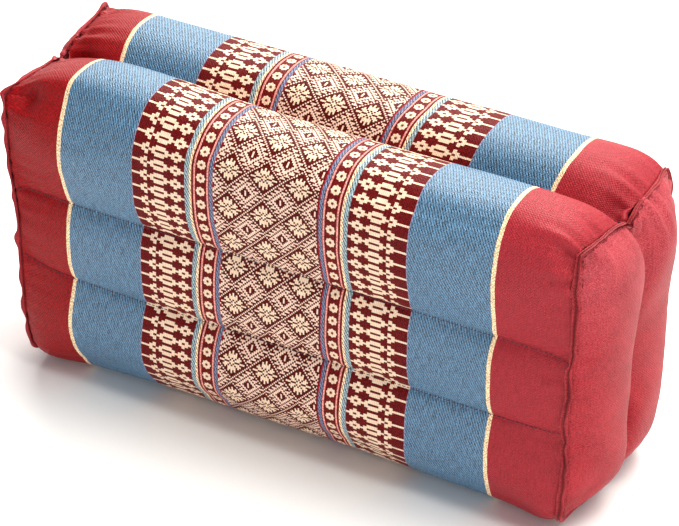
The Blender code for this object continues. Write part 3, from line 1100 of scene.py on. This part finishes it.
def charted(tree, row, place, chart, size):
    """1 where the chart, drawn as one string for each row, has a mark at that place of that row.
    Each row becomes one number below size, and the mark is that number's digit in base two."""
    words = [sum(1 << n for n, mark in enumerate(line) if mark == "#") for line in chart]
    share = summed(tree, 0.5 / len(words), ((row, 1 / len(words)),))
    ramp = add(tree, "ShaderNodeValToRGB", {0: share})
    ramp.color_ramp.interpolation = "CONSTANT"
    steps = ramp.color_ramp.elements
    steps[1].position = 1 / len(words)
    for n in range(2, len(words)):
        steps.new(n / len(words))
    for step, word in zip(steps, words):
        step.color = (word / size, 0.0, 0.0, 1.0)
    found = add(tree, "ShaderNodeSeparateColor", {0: ramp})
    word = summed(tree, 0.25, ((found, float(size)),))
    power = add(tree, "ShaderNodeMath", {0: 2.0, 1: place}, operation="POWER")
    shifted = add(tree, "ShaderNodeMath", {0: word, 1: power}, operation="DIVIDE")
    whole = add(tree, "ShaderNodeMath", {0: shifted}, operation="FLOOR")
    return add(tree, "ShaderNodeMath", {0: whole, 1: 2.0}, operation="MODULO")


def squared_reach(tree, x, y):
    """Square of the distance from the place where x and y are 0."""
    square = add(tree, "ShaderNodeMath", {0: x, 1: x}, operation="MULTIPLY")
    return summed(tree, square, ((y, y),))


def slubs(tree, mm, scale):
    """Thick places in the yarn: noise drawn out along the warp."""
    place = add(tree, "ShaderNodeMapping", {"Vector": mm, "Scale": scale})
    return add(tree, "ShaderNodeTexNoise", {"Vector": place, "Scale": 1.0, "Detail": 3.0})


def square_weave(tree, across, along, pitch):
    """Plain weave from -1 to 1, with its threads this many mm apart."""
    warp = add(tree, "ShaderNodeMath", {0: across, 1: 2 * pi / pitch}, operation="MULTIPLY")
    warp = add(tree, "ShaderNodeMath", {0: warp}, operation="SINE")
    weft = add(tree, "ShaderNodeMath", {0: along, 1: 2 * pi / pitch}, operation="MULTIPLY")
    weft = add(tree, "ShaderNodeMath", {0: weft}, operation="SINE")
    return add(tree, "ShaderNodeMath", {0: warp, 1: weft}, operation="MULTIPLY")


def pulled_place(tree, mm, across, around):
    """Place along the cushion, where the threads sway, and over the back channel are pulled toward
    the ends."""
    sway = add(tree, "ShaderNodeTexNoise", {"Vector": mm, "Scale": SWAY_SCALE, "Detail": 1.0})
    along = summed(tree, across, ((sway, SWAY),))
    beyond = add(tree, "ShaderNodeMapRange", {
        0: around, 1: VALLEY_LINE_V, 2: VALLEY_LINE_V + PULL_LENGTH, 3: 0.0, 4: PULL})
    pulled = add(tree, "ShaderNodeMapRange", {0: along, 1: RIGHT_PULL[0], 2: RIGHT_PULL[1]})
    pulled = add(tree, "ShaderNodeMath", {0: pulled, 1: beyond}, operation="MULTIPLY")
    along = add(tree, "ShaderNodeMath", {0: along, 1: pulled}, operation="SUBTRACT")
    left_end, left_start, most = LEFT_PULL
    pulled = add(tree, "ShaderNodeMapRange", {0: along, 1: left_end, 2: left_start, 3: most, 4: 0.0})
    return summed(tree, along, ((pulled, beyond),))


def lattice_cells(tree, along, around, above, below):
    """Place in cells from the middle of a large flower, along and up. The sewn lines hide some
    cloth, so the pattern jumps there."""
    upper, lower = LATTICE_TAKE_UP
    wide, tall = LATTICE_CELL
    lift = summed(tree, around, ((above, upper), (below, lower)))
    cell_x = summed(tree, LATTICE_START[0] / wide, ((along, 1 / wide),))
    cell_y = summed(tree, LATTICE_START[1], ((lift, 1 / tall),))
    return cell_x, cell_y


def lattice_figure(tree, cell_x, cell_y, off_x, in_lattice):
    """Lattice of eight-petalled flowers and small diamonds, and how many cells each place is from
    the middle of its flower."""
    column = add(tree, "ShaderNodeMath", {0: cell_x}, operation="ROUND")
    row = add(tree, "ShaderNodeMath", {0: cell_y}, operation="ROUND")
    out = add(tree, "ShaderNodeMath", {0: column, 1: 10.0}, operation="PINGPONG")
    up = add(tree, "ShaderNodeMath", {0: row, 1: 11.0}, operation="PINGPONG")
    marked = charted(tree, up, out, LATTICE_CHART, 2048)
    figure = add(tree, "ShaderNodeMath", {0: marked, 1: in_lattice}, operation="MULTIPLY")

    # The cells of the diamonds' outlines are tied down at their corners, and show as round dots
    off_y = add(tree, "ShaderNodeMath", {0: cell_y, 1: 0.5, 2: -0.5}, operation="WRAP")
    dot = squared_reach(tree, off_x, off_y)
    outside = add(tree, "ShaderNodeMath", {0: dot, 1: DOT_SIZE}, operation="GREATER_THAN")
    rank = add(tree, "ShaderNodeMath", {0: out, 1: up}, operation="ADD")
    on_line = add(tree, "ShaderNodeMath", {0: rank, 1: DIAMOND_RANK, 2: 0.5}, operation="COMPARE")
    cut = add(tree, "ShaderNodeMath", {0: outside, 1: on_line}, operation="MULTIPLY")
    kept = add(tree, "ShaderNodeMath", {0: 1.0, 1: cut}, operation="SUBTRACT")
    return add(tree, "ShaderNodeMath", {0: figure, 1: kept}, operation="MULTIPLY"), rank


def candle_figure(tree, inner, outer, band_v):
    """Candles woven along the length of the cushion, one above the other."""
    long, tall = CANDLE_CELL
    column = summed(tree, CANDLE_START / long, ((inner, -1 / long),))
    column = add(tree, "ShaderNodeMath", {0: column}, operation="FLOOR")
    row = add(tree, "ShaderNodeMath", {0: band_v, 1: tall}, operation="DIVIDE")
    row = add(tree, "ShaderNodeMath", {0: row}, operation="ABSOLUTE")
    row = add(tree, "ShaderNodeMath", {0: row}, operation="ROUND")
    marked = charted(tree, column, row, CANDLE_CHART, 16)
    in_band = between(tree, inner, CANDLES, SHARP)
    is_inside = add(tree, "ShaderNodeMath", {0: outer, 1: FIGURE_END}, operation="LESS_THAN")
    figure = add(tree, "ShaderNodeMath", {0: marked, 1: in_band}, operation="MULTIPLY")
    return add(tree, "ShaderNodeMath", {0: figure, 1: is_inside}, operation="MULTIPLY")


def small_flower_figure(tree, inner, band_v):
    """Column of small eight-petalled flowers, on the candles' pitch."""
    flower_x = add(tree, "ShaderNodeMath", {0: inner, 1: SMALL_FLOWER_MIDDLE}, operation="SUBTRACT")
    angle = add(tree, "ShaderNodeMath", {0: band_v, 1: flower_x}, operation="ARCTAN2")
    turns = add(tree, "ShaderNodeMath", {0: angle, 1: 8.0}, operation="MULTIPLY")
    petals = add(tree, "ShaderNodeMath", {0: turns}, operation="COSINE")
    reach = squared_reach(tree, flower_x, band_v)
    reach = add(tree, "ShaderNodeMath", {0: reach}, operation="SQRT")
    edge = summed(tree, reach, ((petals, -PETAL_DEPTH),))
    ring = between(tree, edge, SMALL_FLOWER_RING, PETAL_SOFTNESS)
    in_column = between(tree, inner, SMALL_FLOWERS, SHARP)
    return add(tree, "ShaderNodeMath", {0: ring, 1: in_column}, operation="MULTIPLY")


def cream_colour(tree, mm, rank, in_lattice):
    """Cream of the floats, in patches. Flowers are a yellower cream than the outlines round them."""
    patchy = add(tree, "ShaderNodeTexNoise", {"Vector": mm, "Scale": CREAM_PATCHES, "Detail": 3.0})
    warm = add(tree, "ShaderNodeMix", {0: patchy, 6: linear("#F6C69C"), 7: linear("#FFECD4")},
               data_type="RGBA").outputs[2]
    pink = add(tree, "ShaderNodeMix", {0: patchy, 6: linear("#F4C0A4"), 7: linear("#FFE4D0")},
               data_type="RGBA").outputs[2]
    in_flower = add(tree, "ShaderNodeMath", {0: rank, 1: DIAMOND_RANK - 0.5}, operation="LESS_THAN")
    outside_lattice = add(tree, "ShaderNodeMath", {0: 1.0, 1: in_lattice}, operation="SUBTRACT")
    is_warm = add(tree, "ShaderNodeMath", {0: in_flower, 1: outside_lattice}, operation="MAXIMUM")
    return add(tree, "ShaderNodeMix", {0: is_warm, 6: pink, 7: warm}, data_type="RGBA").outputs[2]


def khit_stripes(tree, along):
    """Colour of the stripes; the distance from the pattern's middle for the fine and for the broad
    ones; and where the red of the right end is."""
    left = add(tree, "ShaderNodeMath", {0: along, 1: -1.0}, operation="MULTIPLY")
    right_inner = add(tree, "ShaderNodeMath", {0: along, 1: RIGHT_STEP}, operation="ADD")
    right_outer = summed(tree, RIGHT_BROAD[1], ((along, RIGHT_BROAD[0]),))
    inner = add(tree, "ShaderNodeMath", {0: left, 1: right_inner}, operation="MAXIMUM")
    outer = add(tree, "ShaderNodeMath", {0: left, 1: right_outer}, operation="MAXIMUM")
    is_outer = add(tree, "ShaderNodeMath", {0: outer, 1: BROAD_START}, operation="GREATER_THAN")
    fine = striped(tree, inner, FINE_STRIPES, FINE_REACH)
    broad = striped(tree, outer, BROAD_STRIPES, BROAD_REACH)
    stripe = add(tree, "ShaderNodeMix", {0: is_outer, 6: fine, 7: broad}, data_type="RGBA").outputs[2]

    # The red at the right end is a paler red
    right_end_red = add(tree, "ShaderNodeMath", {0: right_outer, 1: RED_START}, operation="GREATER_THAN")
    stripe = add(tree, "ShaderNodeMix", {0: right_end_red, 6: stripe, 7: linear("#9A232C")},
                 data_type="RGBA").outputs[2]
    return stripe, inner, outer, right_end_red


def khit_figures(tree, along, around, inner, outer):
    """Where a cream float shows: the lattice, and the candles and small flowers that share one
    pitch. Then how far off its thread's middle each place is, how many cells from the middle of its
    flower, and where the lattice is."""
    above = add(tree, "ShaderNodeMath", {0: around, 1: UPPER_LINE_V}, operation="GREATER_THAN")
    below = add(tree, "ShaderNodeMath", {0: around, 1: LOWER_LINE_V}, operation="LESS_THAN")
    cell_x, cell_y = lattice_cells(tree, along, around, above, below)
    off_x = add(tree, "ShaderNodeMath", {0: cell_x, 1: 0.5, 2: -0.5}, operation="WRAP")
    in_lattice = between(tree, along, LATTICE, SHARP)
    lattice, rank = lattice_figure(tree, cell_x, cell_y, off_x, in_lattice)
    band_v = summed(tree, around, ((above, BAND_TAKE_UP),))
    band_v = add(tree, "ShaderNodeMath", {0: band_v, 1: BAND_START}, operation="SUBTRACT")
    band_v = add(tree, "ShaderNodeMath", {0: band_v, 1: BAND_PITCH / 2, 2: -BAND_PITCH / 2},
                 operation="WRAP")
    candles = candle_figure(tree, inner, outer, band_v)
    small_flowers = small_flower_figure(tree, inner, band_v)
    figure = add(tree, "ShaderNodeMath", {0: lattice, 1: candles}, operation="ADD")
    figure = add(tree, "ShaderNodeMath", {0: figure, 1: small_flowers}, operation="MAXIMUM")
    return figure, off_x, rank, in_lattice


def make_khit_cloth():
    """Khit cotton: supplementary cream floats on a maroon ground, between plain, twill and ribbed
    stripes. It gives the eye a raised, slightly glossy figure on a matt, streaky ground."""
    material, tree, shader = start_material("khit_woven_cotton", 0.50, 0.03)
    mm = cloth_place(tree, (PATTERN_SHIFT, -1000.0 * FLOWER_V, 0.0))
    split = add(tree, "ShaderNodeSeparateXYZ", {0: mm})
    around = split.outputs[1]
    along = pulled_place(tree, mm, split, around)
    stripe, inner, outer, right_end_red = khit_stripes(tree, along)
    figure, off_x, rank, in_lattice = khit_figures(tree, along, around, inner, outer)
    cream = cream_colour(tree, mm, rank, in_lattice)

    # Each float is a thread that runs round the cushion, with a darker line between two of them
    side = add(tree, "ShaderNodeMath", {0: off_x}, operation="ABSOLUTE")
    thread_face = add(tree, "ShaderNodeMapRange", {0: side, 1: 0.30, 2: 0.5, 3: 1.0, 4: 0.62})
    shown = add(tree, "ShaderNodeMath", {0: figure, 1: thread_face}, operation="MULTIPLY")

    # Slubs run along the warp, a few millimetres long and a thread wide; the blue is a steep twill,
    # drawn at 1.4 mm, coarser than the real 0.6 mm so that it shows
    streaks = slubs(tree, mm, KHIT_SLUBS)
    slant = summed(tree, around, ((along, TWILL_STEEPNESS),))
    slant = add(tree, "ShaderNodeMath", {0: slant, 1: 2 * pi / TWILL_PITCH}, operation="MULTIPLY")
    twill = add(tree, "ShaderNodeMath", {0: slant}, operation="SINE")
    in_blue = between(tree, outer, BLUE, SHARP)
    first_rib, second_rib = [between(tree, inner, edges, SHARP) for edges in RIBBED]
    ribbed = add(tree, "ShaderNodeMath", {0: first_rib, 1: second_rib}, operation="ADD")
    ribbed = add(tree, "ShaderNodeMath", {0: ribbed, 1: in_blue}, operation="MAXIMUM")
    twill = add(tree, "ShaderNodeMath", {0: twill, 1: ribbed}, operation="MULTIPLY")
    grain = add(tree, "ShaderNodeTexNoise", {
        "Vector": mm, "Scale": KHIT_SPECKS, "Detail": 3.0, "Roughness": 0.7})

    # Plain weave, drawn at 1.7 mm, coarser than the real 0.4 mm so that it shows
    weave = square_weave(tree, along, around, KHIT_WEAVE)

    # Shade of the yarns: streaks are stronger in the blue, and weave and specks weaker in the red of the
    # right end
    streak = add(tree, "ShaderNodeMath", {0: streaks, 1: 0.5}, operation="SUBTRACT")
    speck = add(tree, "ShaderNodeMath", {0: grain, 1: 0.5}, operation="SUBTRACT")
    streak_share = summed(tree, 0.9, ((in_blue, 1.5),))
    weave_share = summed(tree, 0.25, ((right_end_red, -0.17),))
    speck_share = summed(tree, 3.2, ((right_end_red, -1.8),))
    shade = summed(tree, 1.0, (
        (streak, streak_share),
        (twill, 0.60),
        (weave, weave_share),
        (speck, speck_share),
    ))

    # Dark lines between the threads show in the maroon
    gap = add(tree, "ShaderNodeMapRange", {0: side, 1: 0.20, 2: 0.5, 3: 1.12, 4: 0.72})
    in_maroon = add(tree, "ShaderNodeMath", {0: outer, 1: FIGURE_END}, operation="LESS_THAN")
    gap = add(tree, "ShaderNodeMix", {0: in_maroon, 2: 1.0, 3: gap}, data_type="FLOAT")
    shade = add(tree, "ShaderNodeMath", {0: shade, 1: gap}, operation="MULTIPLY")
    ground = add(tree, "ShaderNodeVectorMath", {0: stripe, "Scale": shade}, operation="SCALE")
    colour = add(tree, "ShaderNodeMix", {0: shown, 6: ground, 7: cream}, data_type="RGBA").outputs[2]

    # The twill and the broad stripes are glossier than the ground, and the floats too
    is_broad = add(tree, "ShaderNodeMath", {0: outer, 1: BLUE[0]}, operation="GREATER_THAN")
    gloss = summed(tree, 0.06, ((is_broad, 0.12), (in_blue, 0.46), (shown, 0.35)))
    tree.links.new(gloss.outputs[0], shader.inputs["Specular IOR Level"])

    # Relief: the floats stand up from the ground
    height = summed(tree, shown, ((weave, 0.3), (grain, 0.6), (twill, 0.15)))
    finish(tree, shader, colour, height, 0.8, 0.0004)
    return material


def make_plain_cotton(name, dark, light, folded):
    """Plain-woven dyed cotton: matt, with a soft bloom where the light grazes it, faint slubs and a
    square weave drawn at 1.5 mm, coarser than the real 0.4 mm so that it shows. The upper part of an
    end panel carries a painted highlight, and a folded seam painted shade at its foot and in its
    groove, where no light reaches."""
    material, tree, shader = start_material(name, 0.62, 0.045)
    mm = cloth_place(tree, (0.0, 0.0, 0.0))
    split = add(tree, "ShaderNodeSeparateXYZ", {0: mm})
    around = split.outputs[1]
    broad = add(tree, "ShaderNodeTexNoise", {"Vector": mm, "Scale": PLAIN_PATCHES, "Detail": 4.0})
    streaks = slubs(tree, mm, PLAIN_SLUBS)
    grain = add(tree, "ShaderNodeTexNoise", {"Vector": mm, "Scale": PLAIN_SPECKS, "Detail": 3.0})
    weave = square_weave(tree, split, around, PLAIN_WEAVE)
    share = add(tree, "ShaderNodeMath", {0: broad, 1: streaks}, operation="ADD")
    share = summed(tree, share, ((grain, 2.2), (weave, 0.16)))
    share = add(tree, "ShaderNodeMapRange", {0: share, 1: 1.65, 2: 2.55})

    # Painted highlight: the upper part of the panels is mixed toward a paler, pinker red that stands in
    # for the light and sheen from above
    painted_highlight = add(tree, "ShaderNodeMapRange", {0: around, 1: 112.0, 2: 160.0, 3: 0.0, 4: 0.50})
    dark = add(tree, "ShaderNodeMix", {0: painted_highlight, 6: linear(dark), 7: linear("#9C3A42")},
               data_type="RGBA").outputs[2]
    light = add(tree, "ShaderNodeMix", {0: painted_highlight, 6: linear(light), 7: linear("#C85E65")},
                data_type="RGBA").outputs[2]
    colour = add(tree, "ShaderNodeMix", {0: share, 6: dark, 7: light}, data_type="RGBA").outputs[2]
    if folded:
        # Painted shade: the groove and the foot of the fold are mixed toward a dark red, where no light
        # reaches
        groove = between(tree, around, (3.3, 4.7), 0.5)
        foot = between(tree, around, (1.0, 7.6), 0.6)
        foot = add(tree, "ShaderNodeMath", {0: 1.0, 1: foot}, operation="SUBTRACT")
        hidden = add(tree, "ShaderNodeMath", {0: groove, 1: foot}, operation="MAXIMUM")
        hidden = add(tree, "ShaderNodeMath", {0: hidden, 1: 0.65}, operation="MULTIPLY")
        colour = add(tree, "ShaderNodeMix", {0: hidden, 6: colour, 7: linear("#42060C")},
                     data_type="RGBA").outputs[2]
    height = summed(tree, grain, ((weave, 0.5),))
    finish(tree, shader, colour, height, 0.6, 0.0003)
    return material


def make_thread():
    """Doubled sewing cotton: dark, matt, with the twist showing as fine slanting bands."""
    material, tree, shader = start_material("sewing_cotton", 0.75, 0.2)
    place = add(tree, "ShaderNodeTexCoord").outputs["Object"]
    twist = add(tree, "ShaderNodeTexWave", {"Vector": place, "Scale": 900.0, "Distortion": 2.0},
                bands_direction="DIAGONAL").outputs[1]
    colour = add(tree, "ShaderNodeMix", {0: twist, 6: linear("#2A1F33"), 7: linear("#4A2A3C")},
                 data_type="RGBA").outputs[2]
    finish(tree, shader, colour, twist, 0.4, 0.0001)
    return material


khit = make_khit_cloth()
plain_red = make_plain_cotton("plain_red_cotton", "#80151C", "#B4303A", False)
seam_red = make_plain_cotton("folded_red_cotton", "#7E141C", "#B2343A", True)
thread = make_thread()
cover.data.materials.append(khit)
for piece in (panel_left, panel_right):
    piece.data.materials.append(plain_red)
for piece in (seam_left, seam_right):
    piece.data.materials.append(seam_red)

stitch_tree = make_stitch_tree()
channel_stitches = make_stitches("channel_stitches", crease_lines(), stitch_tree, thread)
end_lines = [(seam_line(side), True) for side in (-1, 1)]
end_stitches = make_stitches("end_seam_stitches", end_lines, stitch_tree, seam_red)


# The frame

for piece, nodes, slot in (
        (cover, ("cushion_body",), "woven_cotton"),
        (panel_left, ("end_panel_left",), "plain_red_cotton"),
        (panel_right, ("end_panel_right",), "plain_red_cotton"),
        (seam_left, ("end_seam_left",), "seam_cotton"),
        (seam_right, ("end_seam_right",), "seam_cotton"),
        (channel_stitches, (), "seam_cotton"),
        (end_stitches, (), "seam_cotton")):
    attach(piece, "root")
    if nodes:
        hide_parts(*nodes)


# Camera, floor and light

# Fitted to the photo: degrees round from the front, above the floor, and of roll
CAMERA_TURN = (29.13, 32.03, 0.70)
CAMERA_MIDDLE = (-0.0027, 0.0, 0.0885)
CAMERA_SCALE = 0.335 / 0.35  # the fit's block was 0.35 m long, and 0.335 m at this cushion's size
CAMERA_SHIFT = (0.005, 0.002)    # right and down in the picture, as fitted
CAMERA_DISTANCE = 1.932
CAMERA_LENS = 184.58

# Softboxes, in metres and watts
LIGHTS = (
    # name, place, aim, width and height, power, colour
    ("overhead", (0.30, 0.32, 1.42), (0, 0, 0.1), (1.3, 0.9), 29.0, "#FFFDF8"),
    ("back_rim", (-0.65, 1.25, 1.0), (0, 0, 0.1), (1.4, 0.5), 32.0, "#FFFDF8"),
    ("right_rim", (1.0, 1.2, 0.6), (0.15, 0, 0.12), (1.0, 0.5), 5.0, "#FFFDF8"),
    ("right_side", (0.9, -0.10, 1.60), (0.1, 0, 0.1), (0.8, 0.8), 10.0, "#FFFDF8"),
    ("front_fill", (0.6, -1.65, 0.22), (0, 0, 0.05), (1.6, 0.4), 12.0, "#F8FAFF"),
)
WORLD_STRENGTH = 0.32


def make_camera():
    """The photo's own view."""
    azimuth, elevation, roll = [radians(angle) for angle in CAMERA_TURN]
    back = Vector((sin(azimuth) * cos(elevation), -cos(azimuth) * cos(elevation), sin(elevation)))
    right = Vector((cos(azimuth), sin(azimuth), 0.0))
    up = back.cross(right)
    tilted_right = right * cos(roll) + up * sin(roll)
    tilted_up = up * cos(roll) - right * sin(roll)
    place = tilted_right * CAMERA_SHIFT[0] * CAMERA_SCALE - tilted_up * CAMERA_SHIFT[1] * CAMERA_SCALE
    place = place + back * CAMERA_DISTANCE * CAMERA_SCALE
    data = bpy.data.cameras.new("camera")
    data.lens = CAMERA_LENS
    data.sensor_width = 36.0
    camera = bpy.data.objects.new("camera", data)
    turn = Matrix((tilted_right, tilted_up, back)).transposed().to_4x4()
    camera.matrix_world = Matrix.Translation(place + Vector(CAMERA_MIDDLE)) @ turn
    bpy.context.scene.collection.objects.link(camera)
    bpy.context.scene.camera = camera


def make_floor():
    """Painted studio board: pale, matt, with a faint unevenness."""
    bpy.ops.mesh.primitive_plane_add(size=1.0)
    floor = bpy.context.active_object
    floor.name = "floor"
    floor.data.transform(Matrix.Diagonal((6.0, 6.0, 1.0, 1.0)))
    floor.data.transform(Matrix.Translation((0.0, 0.0, -0.0002)))
    material, tree, shader = start_material("painted_studio_board", 0.9, 0.0)
    place = add(tree, "ShaderNodeTexCoord").outputs["Object"]
    speckle = add(tree, "ShaderNodeTexNoise", {"Vector": place, "Scale": 3.0, "Detail": 2.0})
    colour = add(tree, "ShaderNodeMix", {0: speckle, 6: linear("#F9F9F8"), 7: linear("#FDFDFC")},
                 data_type="RGBA").outputs[2]
    tree.links.new(colour, shader.inputs["Base Color"])
    floor.data.materials.append(material)


def make_light(name, place, aim, size, power, colour):
    """Rectangular softbox at a place, turned toward its aim."""
    data = bpy.data.lights.new(name, "AREA")
    data.shape = "RECTANGLE"
    data.size, data.size_y = size
    data.energy = power
    data.color = linear(colour)[:3]
    light = bpy.data.objects.new(name, data)
    light.location = place
    light.rotation_euler = (Vector(place) - Vector(aim)).to_track_quat("Z", "Y").to_euler()
    bpy.context.scene.collection.objects.link(light)


def make_world():
    """Even white light from all round."""
    world = bpy.data.worlds.new("studio")
    world.use_nodes = True
    background = world.node_tree.nodes["Background"]
    background.inputs[0].default_value = (1.0, 1.0, 1.0, 1.0)
    background.inputs[1].default_value = WORLD_STRENGTH
    bpy.context.scene.world = world


make_camera()
make_floor()
for light in LIGHTS:
    make_light(*light)
make_world()
bpy.context.scene.view_settings.view_transform = "Standard"
